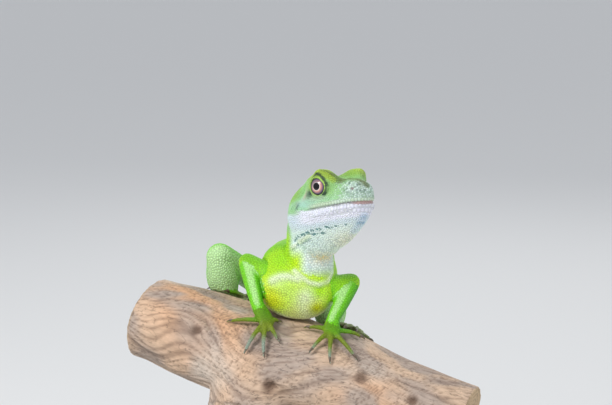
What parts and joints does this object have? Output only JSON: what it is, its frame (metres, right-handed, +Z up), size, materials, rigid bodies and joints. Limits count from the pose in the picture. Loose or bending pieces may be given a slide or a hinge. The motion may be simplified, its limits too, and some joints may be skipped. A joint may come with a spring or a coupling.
{
  "type": "chinese water dragon model",
  "caption": "Life-size model of a young green water dragon lizard with raised head, gripping a short cut branch on a plain stand.",
  "frame": {"origin": "middle of the underside of the stand's base, on the surface that it rests on", "axes": "+Z up, the animal's chest faces -Y, its own left side is towards +X"},
  "size_m": [0.1994, 0.2283, 0.2191],
  "materials": {
    "skin": "fine scaled skin, satin, bright green shading to lime on the body and cream on the throat",
    "eye": "glossy eye, salmon iris round a black pupil",
    "branch_wood": "bare weathered driftwood, dry and grained",
    "stand_plate": "satin dark grey paint",
    "stand_rod": "brushed steel rod"
  },
  "bodies": {
    "root": {"head": "skin", "neck": "skin", "torso": "skin", "tail_base": "skin", "tail_upper": "skin", "tail_lower": "skin", "tail_tip": "skin", "upper_arm_right": "skin", "forearm_right": "skin", "hand_right": "skin", "upper_arm_left": "skin", "forearm_left": "skin", "hand_left": "skin", "thigh_right": "skin", "shin_right": "skin", "foot_right": "skin", "thigh_left": "skin", "shin_left": "skin", "foot_left": "skin", "eye_right": "eye", "eye_left": "eye", "perch_branch": "branch_wood", "stand_base": "stand_plate", "stand_rod_left": "stand_rod", "stand_rod_right": "stand_rod"}
  },
  "joints": []
}
